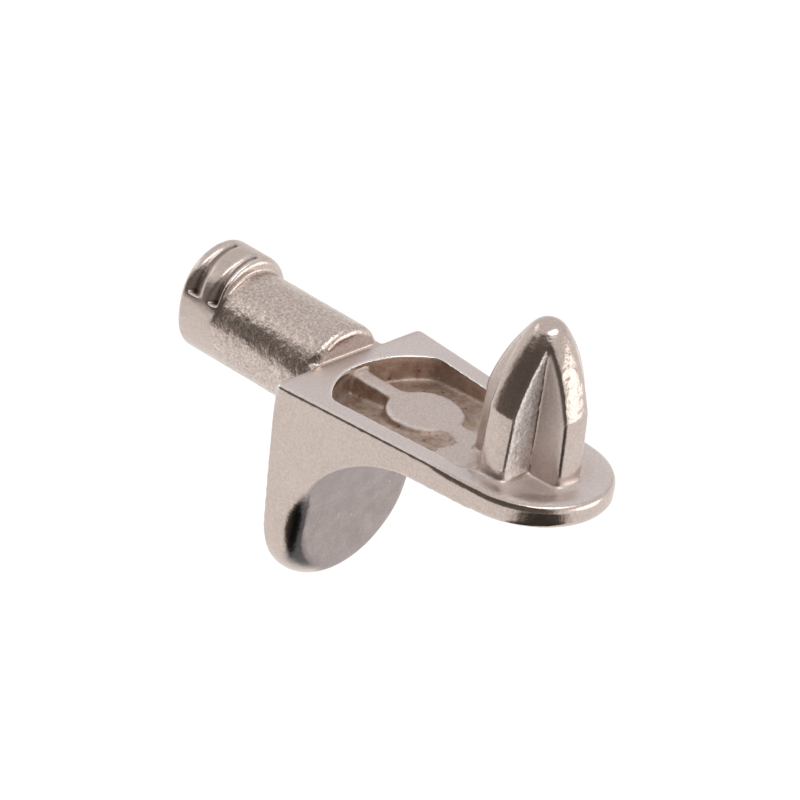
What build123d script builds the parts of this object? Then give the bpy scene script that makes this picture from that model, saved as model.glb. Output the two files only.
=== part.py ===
# Shelf support pin: a plug-in shelf support cast in one piece and nickel plated.
# Millimetres. X points from the cabinet wall out along the arm, Y is across, Z is up.
# The origin is where the plug's axis meets the flat back of the leg; X = 0 is the cabinet wall.
import os
from math import acos, atan, atan2, cos, sin, sqrt

from build123d import *

# Plug that goes into a 5 mm row hole
plug_radius = 2.4            # plain shank
plug_length = 9.65           # back face to rounded tip
plug_tip_bevel = (1.9, 1.3)  # bevel of the tip: along the plug, across it
plug_tip_round = 0.35        # rounding of the bevel
plug_root_round = 0.45       # edge of the shank's end above the shelf face
plug_root_swell = 0.12       # growth of the shank's radius towards the wall
plug_root_sag = 0.22         # and how far its centre drops, so it swells downwards only
plug_flare_start = 2.3       # where the swelling begins
head_start = 6.15            # where the raised, barbed upper side begins
head_rise = 0.66             # how far it stands above the shank
head_shoulder = 0.38         # rounding of the step up to it
barb_first = 6.55            # bottom line of the first notch, from the back face
barb_pitch = 1.3             # spacing of the two notches
barb_depth = 0.32            # depth of a notch below the raised side
barb_slope = 0.6             # length of a notch's gentle side, towards the wall
barb_face = 0.24             # length of its steep side, towards the tip
barb_from, barb_to = 82, 170  # degrees round the raised side that a notch spans
barb_lean = (0.06, 0.16)     # how far the notches are set over: across, up

# Arm that carries the shelf
shelf_face = 1.05            # shelf face above the plug's axis
arm_half_back = 4.75         # half width at the wall
arm_taper = 0.086            # each side runs in by this much per mm
arm_length = 15.3            # wall to nose
arm_thickness = 1.24         # shelf face to underside
arm_top_round = 0.14         # edge of the shelf face
nose_under_round = 0.45      # lower edge of the nose
nose_round_set = 0.2         # how much of that rounding is lost towards the sides
wall_corner_round = 0.3      # upright corners at the wall

# Leg that bears on the cabinet wall
foot_radius = 4.15           # round foot of the leg
foot_drop = 6.9              # foot centre below the shelf face
leg_thickness = 1.72         # wall to front, level with the foot centre
leg_lean = 0.13              # the front runs back towards the wall by this much per mm
leg_front_round = 1.15       # rounded front edge of the foot
leg_round_fade = 2.6         # how quickly that rounding dies out under the gusset
gusset_radius = 6.5          # concave web between leg and arm

# Pocket sunk into the shelf face
rim_width = 1.05             # rim left round the pocket
pocket_back = 0.9            # rear wall of the pocket, from the cabinet wall
pocket_back_radius = 4.6     # its curve in plan
pocket_corner = 0.8          # corner between rear and side walls
pocket_front = 11.3          # where the floor runs out into the shelf face
pocket_depth = 1.5           # depth at the rear wall
pocket_mid = (7.0, 0.62)     # a point the floor passes through: distance from the wall, depth
web_half = 0.5               # half width of the web down the middle
web_drop = 0.4               # web and boss tops below the shelf face
boss_x = 5.0                 # round boss, from the wall
boss_radius = 1.87

# Locating peg
peg_x = 11.2                 # from the wall
peg_foot = 2.65              # radius over the ribs at the shelf face
peg_knee = (2.5, 3.2)        # radius and height where the taper begins
peg_shoulder = (1.69, 5.35)  # a point its curved taper passes through
peg_neck = (0.83, 6.77)      # radius and height just under the round tip
peg_height = 7.2             # above the shelf face
peg_rib_width = 1.65
peg_rib_round = 0.3          # rounded edges of the ribs

lean = atan(arm_taper)
nose_radius = (arm_half_back - arm_taper * arm_length) / (1 / cos(lean) - arm_taper)
nose_x = arm_length - nose_radius
underside = shelf_face - arm_thickness
foot_z = shelf_face - foot_drop


def arm_outline(inset=0.0):
    """Plan view: tapering sides closed by a round nose tangent to them."""
    nose, half = nose_radius - inset, arm_half_back - inset / cos(lean)
    tx, ty = nose_x + nose * sin(lean), nose * cos(lean)
    with BuildSketch() as outline:
        with BuildLine():
            Polyline((tx, -ty), (0, -half), (0, half), (tx, ty))
            ThreePointArc((tx, ty), (nose_x + nose, 0), (tx, -ty))
        make_face()
    return outline.sketch


def leg_outline():
    """View along the plug: sides running in from the arm's width to a round foot."""
    reach = sqrt(arm_half_back**2 + foot_drop**2)
    turn = atan2(foot_drop, arm_half_back) - acos(foot_radius / reach)
    ty, tz = foot_radius * cos(turn), foot_z + foot_radius * sin(turn)
    with BuildSketch(Plane.YZ) as outline:
        with BuildLine():
            Polyline((-ty, tz), (-arm_half_back, shelf_face), (arm_half_back, shelf_face), (ty, tz))
            ThreePointArc((ty, tz), (0, foot_z - foot_radius), (-ty, tz))
        make_face()
    return outline.sketch


def side_profile(radius, low):
    """Side view: the underside at height low sweeps down by radius into the leg's leaning front."""
    tilt = atan(leg_lean)
    line_x = leg_thickness + leg_lean * (low - radius - foot_z)
    cx, cz = line_x + radius / cos(tilt), low - radius
    touch = (cx - radius * cos(tilt), cz + radius * sin(tilt))
    half_turn = (tilt + 1.5708) / 2
    mid = (cx - radius * cos(half_turn), cz + radius * sin(half_turn))
    bottom = foot_z - foot_radius - 1
    with BuildSketch(Plane.XZ) as outline:
        with BuildLine():
            Polyline((cx, low), (arm_length + 1, low), (arm_length + 1, shelf_face), (0, shelf_face),
                     (0, bottom), (leg_thickness + leg_lean * (bottom - foot_z), bottom), touch)
            ThreePointArc(touch, mid, (cx, low))
        make_face()
    return extrude(outline.sketch, amount=20, both=True)


def arm_and_leg():
    plan = arm_outline()
    corners = plan.vertices().sort_by(Axis.X)[:2]
    block = extrude(fillet(corners, wall_corner_round), amount=20, both=True)
    front = extrude(leg_outline(), amount=arm_length + 1)
    body = block & front & side_profile(gusset_radius, underside)
    # the foot's rounded front edge, dying out where the gusset begins
    low = foot_z + leg_round_fade
    mould = front & side_profile(leg_round_fade, low)
    front_edges = [e for e in mould.edges() if 1.0 < e.center().X < 3.0 and e.center().Z < low - 0.1
                   and not (e.geom_type == GeomType.LINE and abs(e.center().Y) < 0.01)]
    return body & fillet(front_edges, leg_front_round)


def nose_round():
    """Ring that rounds the nose's lower edge, deepest at the tip and fading along the sides."""
    r0 = nose_radius + nose_round_set - nose_under_round
    rounding = nose_under_round
    with BuildSketch(Plane.XZ) as corner:
        with BuildLine():
            Polyline((r0, underside), (r0, underside - 1), (r0 + 3, underside - 1), (r0 + 3, underside + rounding),
                     (r0 + rounding, underside + rounding))
            ThreePointArc((r0 + rounding, underside + rounding),
                          (r0 + rounding * sqrt(0.5), underside + rounding * (1 - sqrt(0.5))), (r0, underside))
        make_face()
    ring = revolve(corner.sketch, Axis.Z, 180).rotate(Axis.Z, -90)
    return ring.moved(Location((nose_x - nose_round_set, 0, 0)))


def notch(bottom_x):
    """One barb notch: a steep face looking to the wall, sloping back up to the surface before it."""
    outer, bottom = plug_radius + 0.6, plug_radius - barb_depth
    rise = (outer - bottom) / barb_depth
    with BuildSketch(Plane.XY) as tooth:
        with BuildLine():
            Polyline((-bottom_x, bottom), (-bottom_x - barb_face * rise, outer),
                     (-bottom_x + barb_slope * rise, outer), close=True)
        make_face()
    ring = revolve(tooth.sketch, Axis.X, barb_to - barb_from)
    return ring.rotate(Axis.X, barb_from).moved(Location((0, barb_lean[0], head_rise + barb_lean[1])))


def plug():
    shank = extrude(Plane.YZ * Circle(plug_radius), amount=-plug_length)
    root_circle = Location((0, -plug_root_sag)) * Circle(plug_radius + plug_root_swell)
    shank += loft([Plane.YZ.offset(-plug_flare_start) * Circle(plug_radius), Plane.YZ * root_circle])
    # only the part of the root that stands above the shelf face is rounded
    below = Pos(0, 0, shelf_face) * Box(30, 10, 10, align=(Align.CENTER, Align.CENTER, Align.MAX))
    root = shank.faces().sort_by(Axis.X)[-1]
    shank = fillet(root.edges(), plug_root_round) + (shank & below)
    slot = Location((0, head_rise / 2)) * SlotCenterToCenter(head_rise, 2 * plug_radius, rotation=90)
    head = extrude(Plane.YZ.offset(-head_start) * slot, amount=head_start - plug_length)
    step = head.faces().sort_by(Axis.X)[-1].edges()
    head = fillet([e for e in step if e.center().Z > 0.5], head_shoulder)
    pin = shank + head
    tip = pin.faces().sort_by(Axis.X)[0]
    pin = chamfer(tip.edges(), plug_tip_bevel[0], plug_tip_bevel[1], reference=tip)
    edge = pin.faces().sort_by(Axis.X)[0].edges()
    pin = fillet(edge, plug_tip_round)
    for i in range(2):
        pin -= notch(barb_first + i * barb_pitch)
    return pin


def pocket():
    """What is taken out of the shelf face: a scooped floor round a web and a boss."""
    with BuildSketch(Plane.XZ) as scoop:
        with BuildLine():
            ThreePointArc((0, shelf_face - pocket_depth), (pocket_mid[0], shelf_face - pocket_mid[1]),
                          (pocket_front, shelf_face))
            Polyline((pocket_front, shelf_face), (pocket_front, shelf_face + 1), (0, shelf_face + 1),
                     (0, shelf_face - pocket_depth))
        make_face()
    scooped = extrude(scoop.sketch, amount=20, both=True)
    back_x = pocket_back + pocket_back_radius
    ahead = Location((back_x, 0)) * Circle(pocket_back_radius)
    ahead += Location((back_x + 10, 0)) * Rectangle(20, 20)
    plan = arm_outline(rim_width) & ahead
    corners = plan.vertices().sort_by(Axis.X)[:2]
    hole = scooped & extrude(fillet(corners, pocket_corner), amount=20, both=True)
    web_top = shelf_face - web_drop
    raised = Pos(boss_x, 0, web_top) * Cylinder(boss_radius, 4, align=(Align.CENTER, Align.CENTER, Align.MAX))
    raised += Pos(0, 0, web_top) * Box(peg_x, 2 * web_half, 4, align=(Align.MIN, Align.CENTER, Align.MAX))
    return hole - raised


def peg():
    """Four ribs cut from a pointed body of revolution with a ball tip."""
    tip_drop = peg_height - peg_neck[1]
    tip_radius = (peg_neck[0] ** 2 + tip_drop**2) / (2 * tip_drop)
    # the ribs run on down at the same slope to half way through the arm
    root = arm_thickness / 2
    root_radius = peg_foot + (peg_foot - peg_knee[0]) * root / peg_knee[1]
    with BuildSketch(Plane.XZ) as half:
        with BuildLine():
            Polyline((0, peg_height), (0, -root), (root_radius, -root), peg_knee)
            ThreePointArc(peg_knee, peg_shoulder, peg_neck)
            RadiusArc(peg_neck, (0, peg_height), -tip_radius)
        make_face()
    ogive = revolve(half.sketch, Axis.Z)
    rib = Box(8, peg_rib_width, 20)
    spike = ogive & (rib + rib.rotate(Axis.Z, 90))
    arris = [e for e in spike.edges() if 0.3 < e.center().Z < peg_neck[1] - 0.1
             and sqrt(e.center().X**2 + e.center().Y**2) > peg_rib_width * 0.8]
    spike = fillet(arris, peg_rib_round)
    return spike.moved(Location((peg_x, 0, shelf_face)))


def on_outline(edge):
    """True for the sides and nose of the shelf face, not for its pocket or its edge at the wall."""
    mid = edge @ 0.5
    side_y = arm_half_back - arm_taper * mid.X
    along_side = mid.X > wall_corner_round and abs(mid.Y) > side_y - rim_width / 2
    return along_side or mid.X > arm_length - rim_width / 2


def support():
    body = arm_and_leg() - nose_round() - pocket()
    rim = [e for e in body.edges() if e.bounding_box().size.Z < 0.001 and e.center().Z > shelf_face - 0.001]
    body = fillet([e for e in rim if on_outline(e)], arm_top_round)
    return (body + plug() + peg()).solid()


if __name__ == "__main__":
    os.makedirs("parts", exist_ok=True)
    export_step(support(), "parts/shelf_support.step")
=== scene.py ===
import math

import bmesh
import bpy
import numpy as np
from mathutils import Matrix, Vector, noise
from mathutils.bvhtree import BVHTree


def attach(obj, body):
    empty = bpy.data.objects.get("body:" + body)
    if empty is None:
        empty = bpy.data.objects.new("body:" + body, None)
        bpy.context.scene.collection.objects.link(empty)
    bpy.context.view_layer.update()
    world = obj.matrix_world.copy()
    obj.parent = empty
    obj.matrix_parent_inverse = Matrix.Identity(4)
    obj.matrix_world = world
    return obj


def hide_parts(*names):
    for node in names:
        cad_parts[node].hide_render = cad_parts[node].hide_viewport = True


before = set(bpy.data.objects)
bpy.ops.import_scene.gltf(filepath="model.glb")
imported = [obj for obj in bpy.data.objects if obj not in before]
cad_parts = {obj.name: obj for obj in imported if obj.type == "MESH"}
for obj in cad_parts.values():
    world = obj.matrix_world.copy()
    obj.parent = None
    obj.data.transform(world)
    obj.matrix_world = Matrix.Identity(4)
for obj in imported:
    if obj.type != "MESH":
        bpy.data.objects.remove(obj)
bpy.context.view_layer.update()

MM = 0.001

# Sizes of the part in mm; X points from the cabinet wall out along the arm, Z is up
SHELF = 1.05                  # shelf face above the plug's axis
ARM_HALF = 4.75               # half width of the arm at the wall
ARM_TAPER = 0.086             # each side runs in by this much per mm
RIM = 1.05                    # rim round the pocket
POCKET_X = (0.6, 11.5)        # stretch of the arm that holds the pocket
POCKET_DEEP = 1.9             # more than the pocket's depth
WEB_DROP = 0.4                # tops of the web and the boss below the shelf face
PEG_X = 11.2                  # peg, from the wall
PEG_OUT = 2.8                 # a little more than the peg's radius
PEG_FOOT_OUT = 3.1            # radius that the soft foot of the peg reaches
PEG_TAPER = 3.0               # a little under the height where the peg's taper begins
RIB_HALF = 0.75               # a little less than half of a rib's width
NOSE_X = 11.56                # centre of the round nose
NOSE_RIM = (3.2, 3.45)        # radii between which the nose's worn edge fades in
NOSE_FROM = (8.5, 10.5)       # and the same along the arm
HEAD_X = (-5.9, -6.3)         # where the plug's shank gives way to its head

# The skin that stands for the casting
VOXEL = 0.06                  # first mesh spacing, mm
TRIANGLES = 188000            # after thinning
HALF_WAY = 0.5                # share of the way to its neighbours that a point moves in one turn
EDGE_TURNS = 7                # turns of smoothing that round every edge
POCKET_TURNS = 40             # further turns, where the photo shows soft or worn forms
PEG_FOOT_TURNS = 50
NOSE_RIM_TURNS = 70
BEND_TURNS = 12               # turns that show where the surface is hollow or crested
HOLLOW_SPAN = 0.03            # shift in those turns, in mm, that counts as fully hollow
CREST_START = 0.007           # shift outwards where a crest begins
CREST_SPAN = 0.028            # further shift to a full crest
POCKET_CREST = 0.012          # and how much less it takes in the pocket

# Colours, linear
NICKEL = ((0.585, 0.485, 0.435), (0.64, 0.55, 0.505))
# painted light: a lighter copy of the nickel for the up-facing shelf face
SHELF_LIT_NICKEL = ((0.68, 0.60, 0.575), (0.77, 0.69, 0.675))
BOSS_NICKEL = (0.67, 0.57, 0.54)
POCKET_BROWN = ((0.43, 0.315, 0.255), (0.57, 0.46, 0.395))
LEG_GREY = ((0.405, 0.345, 0.335), (0.46, 0.40, 0.385))
# painted light on the flanks of the peg's valleys
VALLEY_PAINTED_LIGHT = (0.80, 0.70, 0.65)
# painted light: the hammered flank of the peg made nearly white
HAMMERED_PAINTED_LIGHT = (0.98, 0.90, 0.88)
# painted dark reflection down the leg's rounded edge
PAINTED_DARK_REFLECTION = (0.085, 0.08, 0.085)
# crests lightened, partly burnished wear and partly a painted highlight
BURNISHED_AND_HIGHLIGHT = (0.99, 0.95, 0.93)
# painted shade at the bottom of the barbs' grooves
GROOVE_SHADE = (0.05, 0.035, 0.03)
PIT_RED = (0.17, 0.075, 0.055)
SCRATCH_PALE = (0.85, 0.80, 0.78)

# What each region of the surface adds to a base value
MOTTLING = (0.45, {"shank": 1.15, "pocket": 0.15, "hammered_and_lit": 0.9})
BUMPINESS = (0.8, {"shank": 1.5, "pocket": 1.2, "hammered_and_lit": 3.0, "scarred": 1.5})
ROUGHER = {"shank": 0.07, "barbs": 0.13, "level": 0.20, "peg_foot": 0.22, "raised": -0.06, "leg_front": 0.28,
           "pocket": 0.36, "valley": 0.28}
SMOOTHEST = 0.10              # least roughness of the plate
BUMP_HEIGHT = 0.00001         # metres

# Light tent: each patch by its side angle and height, and half its width and height, in degrees
SOFT_BOX = dict(azimuth=34.0, level=5.0, wide=32.0, tall=16.0, inner=0.5)
STRIP = dict(azimuth=-10.0, level=58.0, wide=62.0, tall=14.0, inner=0.5)
PANEL = dict(azimuth=-158.0, level=33.0, wide=24.0, tall=10.0, inner=0.5)
OPEN_SIDE = dict(azimuth=-76.0, level=8.0, wide=71.0, tall=28.0, inner=0.80, power=4.0)
OPEN_ABOVE = dict(azimuth=-68.0, level=28.0, wide=54.0, tall=24.0, inner=0.65)
DARK_TABLE = dict(azimuth=-25.0, level=-44.0, wide=44.0, tall=38.0, inner=0.65)
SOFT_BOX_GAIN, STRIP_GAIN, PANEL_GAIN = 1.3, 2.4, 0.8
TENT_LEVEL = 0.97             # brightness below the horizon
UPPER_LOSS = 0.20             # the tent is this much dimmer above it
HORIZON = (-6.0, 20.0)        # heights between which that changes, degrees
OPEN_SHARE = 0.895            # how dark the open side is, next to the dark table
DARKEST = 0.955               # share of the light that is gone where it is darkest
TENT_COLOUR = (1.0, 0.99, 0.98)
DARK_COLOUR = (1.0, 0.86, 0.76)

# Floor
FLOOR_HALF, FLOOR_Z = 4.0, -0.045    # half its side and its height, metres
FLOOR_WHITE = 1.05            # its least brightness as the camera sees it

# Camera and photo
SENSOR = 36.0                 # sensor width, mm
PHOTO_PX = 800.0              # width and height of the photo
ORIGIN_PX = (347.345, 354.994)    # where the photo shows the middle of the arm's back edge: across, down
PX_PER_MM = 22.131            # scale of the photo there
DISTANCE = 297.03             # camera to that place, mm
CAMERA_DEGREES = (39.48, 28.55, 8.95)    # side angle, height and roll


def smoothstep(a, b, x):
    """0 at a and 1 at b, smooth between; a may be the greater."""
    t = np.clip((x - a) / (b - a), 0.0, 1.0)
    return t * t * (3 - 2 * t)


# Mesh helpers
def array_of(items, key):
    out = np.empty(len(items) * 3)
    items.foreach_get(key, out)
    return out.reshape(-1, 3)


def edge_pairs(mesh):
    out = np.empty(len(mesh.edges) * 2, dtype=np.int64)
    mesh.edges.foreach_get("vertices", out)
    return out.reshape(-1, 2)


def set_places(mesh, co):
    mesh.vertices.foreach_set("co", co.ravel())
    mesh.update()


def set_attribute(mesh, name, value):
    attr = mesh.attributes.new(name, "FLOAT", "POINT")
    attr.data.foreach_set("value", np.asarray(value, dtype=np.float32))


def relax(co, ed, factor, turns):
    """Moves each point towards the mean of its neighbours; factor may differ from point to point."""
    n = len(co)
    a, b = ed.T
    count = np.bincount(ed.ravel(), minlength=n)[:, None]
    for _ in range(turns):
        sums = [np.bincount(a, co[b, k], n) + np.bincount(b, co[a, k], n) for k in range(3)]
        co = co + factor * (np.stack(sums, axis=1) / count - co)
    return co


def noise_at(points, size, seed):
    shift = Vector((seed, 2.3 * seed, 5.1 * seed))
    return np.array([noise.noise(Vector(p) / size + shift) for p in points])


def through_modifier(mesh, kind, **settings):
    work = bpy.data.objects.new("skin_work", mesh)
    bpy.context.scene.collection.objects.link(work)
    mod = work.modifiers.new("work", kind)
    for key, value in settings.items():
        setattr(mod, key, value)
    dg = bpy.context.evaluated_depsgraph_get()
    made = bpy.data.meshes.new_from_object(work.evaluated_get(dg))
    bpy.data.objects.remove(work)
    return made


# Zones of the casting that are softer than the rest
def pocket_zone(co):
    """1 inside the pocket, falling to 0 at its rim."""
    x, y, z = co.T
    side = ARM_HALF - ARM_TAPER * x - RIM
    inside = (x > POCKET_X[0]) * (x < POCKET_X[1]) * (z > SHELF - POCKET_DEEP)
    return inside * smoothstep(0.10, 0.45, SHELF - z) * smoothstep(0.15, -0.05, np.abs(y) - side)


def peg_foot_zone(co):
    """1 where the peg meets the shelf face, falling to 0 a little way up and out."""
    x, y, z = co.T
    out = np.hypot(x - PEG_X, y)
    return smoothstep(0.45, 0.15, np.abs(z - SHELF - 0.05)) * smoothstep(PEG_FOOT_OUT, PEG_OUT, out)


def nose_rim_zone(co):
    """1 along the upper edge of the nose, where it is worn rounder than the sides."""
    x, y, z = co.T
    out = np.hypot(x - NOSE_X, y)
    return smoothstep(0.4, 0.15, SHELF - z) * smoothstep(*NOSE_RIM, out) * smoothstep(*NOSE_FROM, x)


def regions(co, no):
    """Named parts of the surface, each 0 to 1, by place in mm and by the way the surface faces."""
    x, y, z = co.T
    nx, ny, nz = no.T
    r = {}
    # the pocket, and the tops of its web and boss
    r["pocket"] = pocket_zone(co)
    r["raised"] = r["pocket"] * smoothstep(0.80, 0.97, nz) * (np.abs(z - (SHELF - WEB_DROP)) < 0.14)
    # front of the leg up into the gusset, and a painted dark reflection down its rounded edge
    front = smoothstep(0.24, 0.06, -ny) * smoothstep(0.95, 0.75, ny)
    front *= smoothstep(-0.15, 0.1, nx - np.minimum(nz, 0.0) - 0.15) * (x > 0.4) * (x < 9.5)
    r["leg_front"] = front * smoothstep(0.0, -0.25, z)
    dark_reflection = smoothstep(0.03, 0.2, -ny) * smoothstep(0.80, 0.55, -ny) * smoothstep(-2.0, -3.2, z) * (nx > 0.3)
    r["dark_reflection"] = dark_reflection * (smoothstep(-9.6, -8.4, z) * smoothstep(-0.7, -0.4, nz))
    # the peg's foot and the flat shelf face
    r["peg_foot"] = peg_foot_zone(co)
    r["level"] = smoothstep(0.86, 0.98, nz) * (np.abs(z - SHELF) < 0.2) * smoothstep(0.1, 0.4, x)
    # the valleys between the peg's ribs, one hammered flank, and the scarred end towards the nose
    on_peg = smoothstep(SHELF, SHELF + 0.15, z) * (np.hypot(x - PEG_X, y) < PEG_OUT)
    side_x = smoothstep(0.8, 0.97, np.abs(nx)) * (np.abs(y) > RIB_HALF)
    side_y = smoothstep(0.8, 0.97, np.abs(ny)) * (np.abs(x - PEG_X) > RIB_HALF)
    r["valley"] = on_peg * np.maximum(side_x, side_y)
    r["hammered_and_lit"] = on_peg * side_x * smoothstep(-0.6, -0.9, y)
    scar = on_peg * smoothstep(0.75, 0.9, nx) * smoothstep(1.5, 1.0, np.abs(y))
    r["scarred"] = scar * smoothstep(SHELF + PEG_TAPER, SHELF + PEG_TAPER + 0.5, z)
    # the plug: its plain shank, and the barbed upper side of its head
    r["shank"] = smoothstep(0.1, -0.2, x) * (1 - smoothstep(*HEAD_X, x))
    r["barbs"] = smoothstep(-6.25, -6.45, x) * smoothstep(-9.3, -9.1, x) * smoothstep(-0.6, 0.6, z)
    return r


def depth_of(co, r):
    """Casting grain and waves, all of it inwards, in mm."""
    wave = noise_at(co, size=1.3, seed=7.0)
    grain = noise_at(co, size=0.28, seed=3.0)
    peel = noise_at(co, size=0.5, seed=11.0)
    depth = 0.006 + 0.008 * wave + 0.003 * grain
    depth += r["shank"] * (0.010 + 0.010 * peel + 0.008 * grain)
    depth += r["scarred"] * (0.010 + 0.022 * np.minimum(grain, 0.0) + 0.012 * peel)
    depth += r["pocket"] * (0.014 + 0.016 * peel + 0.010 * grain)
    depth += r["hammered_and_lit"] * (0.016 + 0.020 * grain + 0.01 * peel)
    return np.clip(depth, 0.0, 1.0)


# The casting: the CAD solid turned into an even skin, its edges softened as plating leaves them
def dense_skin():
    """Voxel skin of the CAD solid in mm, pulled back onto it, with its sharp edges eased."""
    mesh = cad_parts["shelf_support"].data.copy()
    mesh.transform(Matrix.Scale(1 / MM, 4))
    cad = bmesh.new()
    cad.from_mesh(mesh)
    tree = BVHTree.FromBMesh(cad)
    cad.free()
    skin = through_modifier(mesh, "REMESH", mode="VOXEL", voxel_size=VOXEL)
    co = array_of(skin.vertices, "co")
    co = np.array([tree.find_nearest(Vector(p))[0] for p in co])
    ed = edge_pairs(skin)
    co = relax(co, ed, HALF_WAY, EDGE_TURNS)
    co = relax(co, ed, HALF_WAY * pocket_zone(co)[:, None], POCKET_TURNS)
    co = relax(co, ed, HALF_WAY * peg_foot_zone(co)[:, None], PEG_FOOT_TURNS)
    co = relax(co, ed, HALF_WAY * nose_rim_zone(co)[:, None], NOSE_RIM_TURNS)
    set_places(skin, co)
    return skin, co, ed


def bends(co, no, ed):
    """How hollow and how crested the surface is; crests count above the arm's underside and on the head."""
    bent = ((relax(co, ed, HALF_WAY, BEND_TURNS) - co) * no).sum(axis=1)
    crest = (-bent - CREST_START) / (CREST_SPAN - POCKET_CREST * pocket_zone(co))
    crest *= np.maximum(smoothstep(-0.4, 0.2, co[:, 2]), smoothstep(-5.8, -6.2, co[:, 0]))
    return np.clip(bent / HOLLOW_SPAN, 0.0, 1.0), np.clip(crest, 0.0, 1.0)


def casting_skin():
    """The finished skin in metres, with its regions as attributes."""
    skin, co, ed = dense_skin()
    no = array_of(skin.vertices, "normal")
    hollow, crest = bends(co, no, ed)
    set_places(skin, co - no * depth_of(co, regions(co, no))[:, None])
    set_attribute(skin, "hollow", hollow)
    set_attribute(skin, "crest", crest)
    faces = sum(len(p.vertices) - 2 for p in skin.polygons)
    skin = through_modifier(skin, "DECIMATE", ratio=min(1.0, TRIANGLES / faces))
    co, no = array_of(skin.vertices, "co"), array_of(skin.vertices, "normal")
    for name, value in regions(co, no).items():
        set_attribute(skin, name, value)
    set_places(skin, co * MM)
    skin.polygons.foreach_set("use_smooth", [True] * len(skin.polygons))
    return skin


# Small helpers for shader trees
class Tree:
    def __init__(self, tree):
        self.tree = tree
        self.named = {}

    def node(self, kind, **props):
        n = self.tree.nodes.new(kind)
        for key, value in props.items():
            setattr(n, key, value)
        return n

    def put(self, socket, value):
        if isinstance(value, bpy.types.NodeSocket):
            self.tree.links.new(value, socket)
        else:
            socket.default_value = value

    def math(self, op, a, b=0.0, c=0.0):
        n = self.node("ShaderNodeMath", operation=op)
        for i, v in enumerate((a, b, c)):
            self.put(n.inputs[i], v)
        return n.outputs[0]

    def step(self, low, high, value):
        """0 at low and 1 at high, smooth between; low may be the greater."""
        n = self.node("ShaderNodeMapRange", interpolation_type="SMOOTHSTEP")
        self.put(n.inputs["Value"], value)
        n.inputs["From Min"].default_value = min(low, high)
        n.inputs["From Max"].default_value = max(low, high)
        n.inputs["To Min"].default_value = 0.0 if low < high else 1.0
        n.inputs["To Max"].default_value = 1.0 if low < high else 0.0
        return n.outputs["Result"]

    def mix(self, fac, a, b):
        n = self.node("ShaderNodeMix", data_type="RGBA")
        self.put(n.inputs[0], fac)
        for slot, col in ((n.inputs[6], a), (n.inputs[7], b)):
            self.put(slot, col if isinstance(col, bpy.types.NodeSocket) else (*col, 1.0))
        return n.outputs[2]

    def scaled(self, vector, factor):
        n = self.node("ShaderNodeVectorMath", operation="SCALE")
        self.put(n.inputs[0], vector)
        self.put(n.inputs["Scale"], factor)
        return n.outputs[0]

    def noise(self, vector, size, detail=2.0, rough=0.5):
        n = self.node("ShaderNodeTexNoise")
        n.inputs["Scale"].default_value = 1.0 / size
        n.inputs["Detail"].default_value = detail
        n.inputs["Roughness"].default_value = rough
        self.put(n.inputs["Vector"], vector)
        return n.outputs["Fac"]

    def attribute(self, name):
        if name not in self.named:
            n = self.node("ShaderNodeAttribute")
            n.attribute_name = name
            self.named[name] = n.outputs["Fac"]
        return self.named[name]

    def by_region(self, base, weights):
        """base, plus what each region adds."""
        for name, weight in weights.items():
            base = self.math("MULTIPLY_ADD", self.attribute(name), weight, base)
        return base


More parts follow.
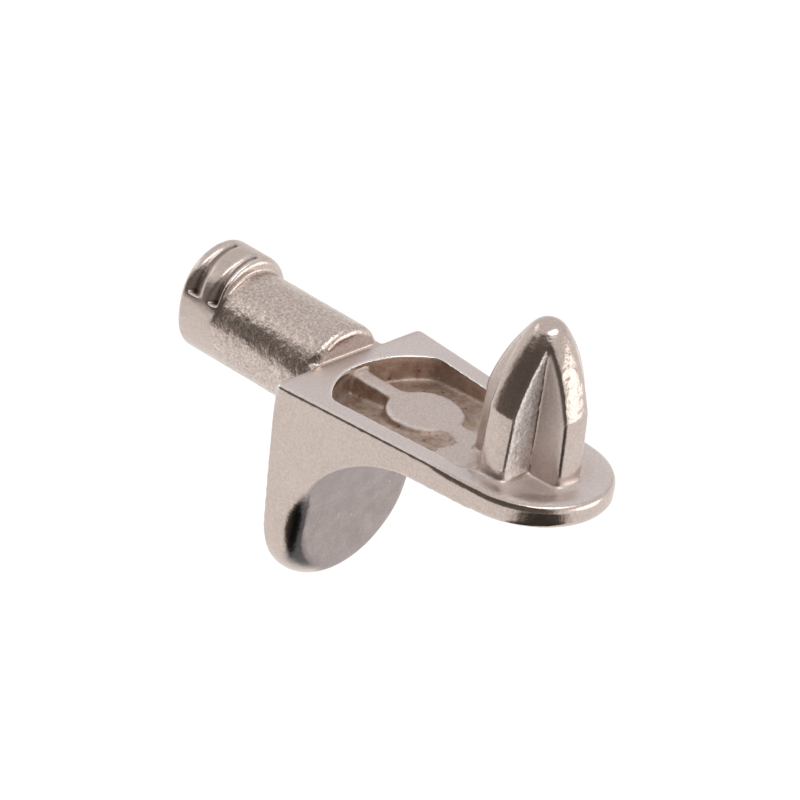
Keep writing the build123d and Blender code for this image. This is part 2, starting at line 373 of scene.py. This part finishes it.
# Nickel plate over the casting
def plate_colour(t, mm):
    region = t.attribute
    sunk = t.math("SUBTRACT", region("pocket"), region("raised"))
    cloudy = t.noise(mm, size=1.7, detail=4.0)
    brown = t.mix(t.step(0.35, 0.65, t.noise(mm, size=0.55, detail=5.0, rough=0.6)), *POCKET_BROWN)
    grey = t.mix(t.step(0.3, 0.7, t.noise(mm, size=0.9, detail=5.0, rough=0.6)), *LEG_GREY)
    colour = t.mix(cloudy, *NICKEL)
    colour = t.mix(sunk, colour, brown)
    colour = t.mix(region("raised"), colour, BOSS_NICKEL)
    # painted light: the up-facing shelf face lighter than the sides
    colour = t.mix(region("level"), colour, t.mix(cloudy, *SHELF_LIT_NICKEL))
    colour = t.mix(region("leg_front"), colour, grey)
    # painted light: the valley flanks made paler
    colour = t.mix(region("valley"), colour, VALLEY_PAINTED_LIGHT)
    # painted light on the hammered flank, on top of its real bumps
    colour = t.mix(region("hammered_and_lit"), colour, HAMMERED_PAINTED_LIGHT)
    # painted dark reflection: a near-black band down the leg's rounded edge
    colour = t.mix(region("dark_reflection"), colour, PAINTED_DARK_REFLECTION)
    # burnished edges with a painted highlight along the crests
    dull = t.math("MAXIMUM", region("leg_front"), region("shank"))
    wear_and_highlight = t.math("MULTIPLY", region("crest"), t.math("SUBTRACT", 1.0, dull))
    colour = t.mix(t.math("MULTIPLY", wear_and_highlight, 0.85), colour, BURNISHED_AND_HIGHLIGHT)
    # painted shade in the grooves of the barbs
    colour = t.mix(t.math("MULTIPLY", region("hollow"), region("barbs")), colour, GROOVE_SHADE)
    # fine mottling of the cast skin, strongest on the plug
    grainy = t.math("SUBTRACT", t.noise(mm, size=0.13, detail=2.5, rough=0.6), 0.5)
    colour = t.scaled(colour, t.math("MULTIPLY_ADD", grainy, t.by_region(*MOTTLING), 1.0))
    # rusty pits at the bottom of the pocket
    pits = t.step(0.60, 0.72, t.noise(mm, size=0.38, detail=4.0, rough=0.62))
    colour = t.mix(t.math("MULTIPLY", pits, sunk), colour, PIT_RED)
    # light scratches and specks on the leg's flat front
    turned = t.node("ShaderNodeMapping")
    turned.inputs["Rotation"].default_value = (math.radians(38), 0.0, 0.0)
    turned.inputs["Scale"].default_value = (1.0, 14.0, 0.9)
    t.put(turned.inputs["Vector"], mm)
    scratch = t.step(0.66, 0.73, t.noise(turned.outputs[0], size=1.1, detail=3.0, rough=0.6))
    speck = t.step(0.70, 0.76, t.noise(mm, size=0.17))
    marks = t.math("MULTIPLY", t.math("MAXIMUM", scratch, speck), region("leg_front"))
    return t.mix(t.math("MULTIPLY", marks, 0.7), colour, SCRATCH_PALE)


def plate_roughness(t, mm):
    """Uneven and rougher by region, polished along the crests."""
    rough = t.math("MULTIPLY_ADD", t.noise(mm, size=0.6, detail=4.0), 0.14, 0.12)
    rough = t.by_region(rough, ROUGHER)
    polish = t.math("SUBTRACT", 1.0, t.math("MULTIPLY", t.attribute("crest"), 0.75))
    return t.math("MAXIMUM", t.math("MULTIPLY", polish, rough), SMOOTHEST)


def plate_bump(t, mm):
    fine = t.math("MULTIPLY_ADD", t.noise(mm, size=0.11), 0.45, t.noise(mm, size=0.24))
    bump = t.node("ShaderNodeBump")
    bump.inputs["Distance"].default_value = BUMP_HEIGHT
    bump.inputs["Strength"].default_value = 1.0
    t.put(bump.inputs["Height"], t.math("MULTIPLY", fine, t.by_region(*BUMPINESS)))
    return bump.outputs[0]


def nickel():
    mat = bpy.data.materials.new("nickel")
    mat.use_nodes = True
    mat.node_tree.nodes.clear()
    t = Tree(mat.node_tree)
    out = t.node("ShaderNodeOutputMaterial")
    shader = t.node("ShaderNodeBsdfPrincipled")
    shader.inputs["Metallic"].default_value = 1.0
    t.put(out.inputs[0], shader.outputs[0])
    mm = t.scaled(t.node("ShaderNodeTexCoord").outputs["Object"], 1 / MM)
    t.put(shader.inputs["Base Color"], plate_colour(t, mm))
    t.put(shader.inputs["Roughness"], plate_roughness(t, mm))
    t.put(shader.inputs["Normal"], plate_bump(t, mm))
    return mat


def add_casting():
    skin = casting_skin()
    casting = bpy.data.objects.new("casting", skin)
    bpy.context.scene.collection.objects.link(casting)
    skin.materials.clear()
    skin.materials.append(nickel())
    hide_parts("shelf_support")
    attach(casting, "root")


# Camera: fitted to the photograph
def add_camera():
    phi, elev, roll = [math.radians(angle) for angle in CAMERA_DEGREES]
    fwd = Vector((-math.sin(phi) * math.cos(elev), math.cos(phi) * math.cos(elev), -math.sin(elev)))
    right = Vector((math.cos(phi), math.sin(phi), 0.0))
    up = right.cross(fwd)
    right, up = math.cos(roll) * right + math.sin(roll) * up, -math.sin(roll) * right + math.cos(roll) * up
    across, down = [(px - PHOTO_PX / 2) / PX_PER_MM for px in ORIGIN_PX]
    where = -(across * right - down * up + DISTANCE * fwd) + Vector((0, 0, SHELF))
    data = bpy.data.cameras.new("camera")
    data.sensor_width = SENSOR
    data.lens = PX_PER_MM * DISTANCE * SENSOR / PHOTO_PX
    data.clip_start, data.clip_end = 0.01, 20.0
    cam = bpy.data.objects.new("camera", data)
    bpy.context.scene.collection.objects.link(cam)
    m = Matrix((right, up, -fwd)).transposed().to_4x4()
    m.translation = where * MM
    cam.matrix_world = m
    bpy.context.scene.camera = cam


# Light tent: white all round, open and dark on the photographer's side, a strong soft box on the right
def glow(t, direction):
    """Brightness and colour of the tent in a direction."""
    norm = t.node("ShaderNodeVectorMath", operation="NORMALIZE")
    t.put(norm.inputs[0], direction)
    sep = t.node("ShaderNodeSeparateXYZ")
    t.put(sep.inputs[0], norm.outputs[0])
    x, y, z = sep.outputs
    height = t.math("DEGREES", t.math("ARCSINE", z))

    def patch(azimuth, level, wide, tall, inner, power=2.0):
        """1 out to the inner share of a rounded patch, falling to 0 at its edge."""
        a = math.radians(azimuth)
        along = t.math("MULTIPLY_ADD", x, math.cos(a), t.math("MULTIPLY", y, math.sin(a)))
        across = t.math("MULTIPLY_ADD", x, -math.sin(a), t.math("MULTIPLY", y, math.cos(a)))
        u = t.math("DIVIDE", t.math("DEGREES", t.math("ARCTAN2", across, along)), wide)
        v = t.math("DIVIDE", t.math("SUBTRACT", height, level), tall)
        u, v = t.math("POWER", t.math("ABSOLUTE", u), power), t.math("POWER", t.math("ABSOLUTE", v), power)
        return t.step(1.0, inner ** power, t.math("ADD", u, v))

    level = t.math("MULTIPLY_ADD", t.step(*HORIZON, height), -UPPER_LOSS, TENT_LEVEL)
    for place, gain in ((SOFT_BOX, SOFT_BOX_GAIN), (STRIP, STRIP_GAIN), (PANEL, PANEL_GAIN)):
        level = t.math("MULTIPLY_ADD", patch(**place), gain, level)
    dark = t.math("MAXIMUM", patch(**OPEN_SIDE), patch(**OPEN_ABOVE))
    dark = t.math("MAXIMUM", t.math("MULTIPLY", dark, OPEN_SHARE), patch(**DARK_TABLE))
    colour = t.mix(dark, TENT_COLOUR, DARK_COLOUR)
    return t.math("MULTIPLY", level, t.math("MULTIPLY_ADD", dark, -DARKEST, 1.0)), colour


def add_light_tent():
    world = bpy.data.worlds.new("tent")
    bpy.context.scene.world = world
    world.use_nodes = True
    t = Tree(world.node_tree)
    bg = world.node_tree.nodes["Background"]
    level, colour = glow(t, t.node("ShaderNodeTexCoord").outputs["Generated"])
    t.put(bg.inputs["Strength"], level)
    t.put(bg.inputs["Color"], colour)


# Floor: a pale sheet under the part, plain white to the camera, lit like the tent for everything else
def floor_sheet():
    mat = bpy.data.materials.new("floor_sheet")
    mat.use_nodes = True
    mat.node_tree.nodes.clear()
    t = Tree(mat.node_tree)
    out = t.node("ShaderNodeOutputMaterial")
    lit = t.node("ShaderNodeEmission")
    place = t.node("ShaderNodeNewGeometry").outputs["Position"]
    seen = t.node("ShaderNodeLightPath").outputs["Is Camera Ray"]
    level, colour = glow(t, place)
    t.put(lit.inputs["Strength"], t.math("MAXIMUM", level, t.math("MULTIPLY", seen, FLOOR_WHITE)))
    t.put(lit.inputs["Color"], t.mix(seen, colour, (1.0, 1.0, 1.0)))
    t.put(out.inputs[0], lit.outputs[0])
    return mat


def add_floor():
    corners = [(x * FLOOR_HALF, y * FLOOR_HALF, FLOOR_Z) for x, y in ((-1, -1), (1, -1), (1, 1), (-1, 1))]
    mesh = bpy.data.meshes.new("floor")
    mesh.from_pydata(corners, [], [(0, 1, 2, 3)])
    mesh.materials.append(floor_sheet())
    floor = bpy.data.objects.new("floor", mesh)
    bpy.context.scene.collection.objects.link(floor)


add_casting()
add_camera()
add_light_tent()
add_floor()
bpy.context.scene.view_settings.view_transform = "Standard"
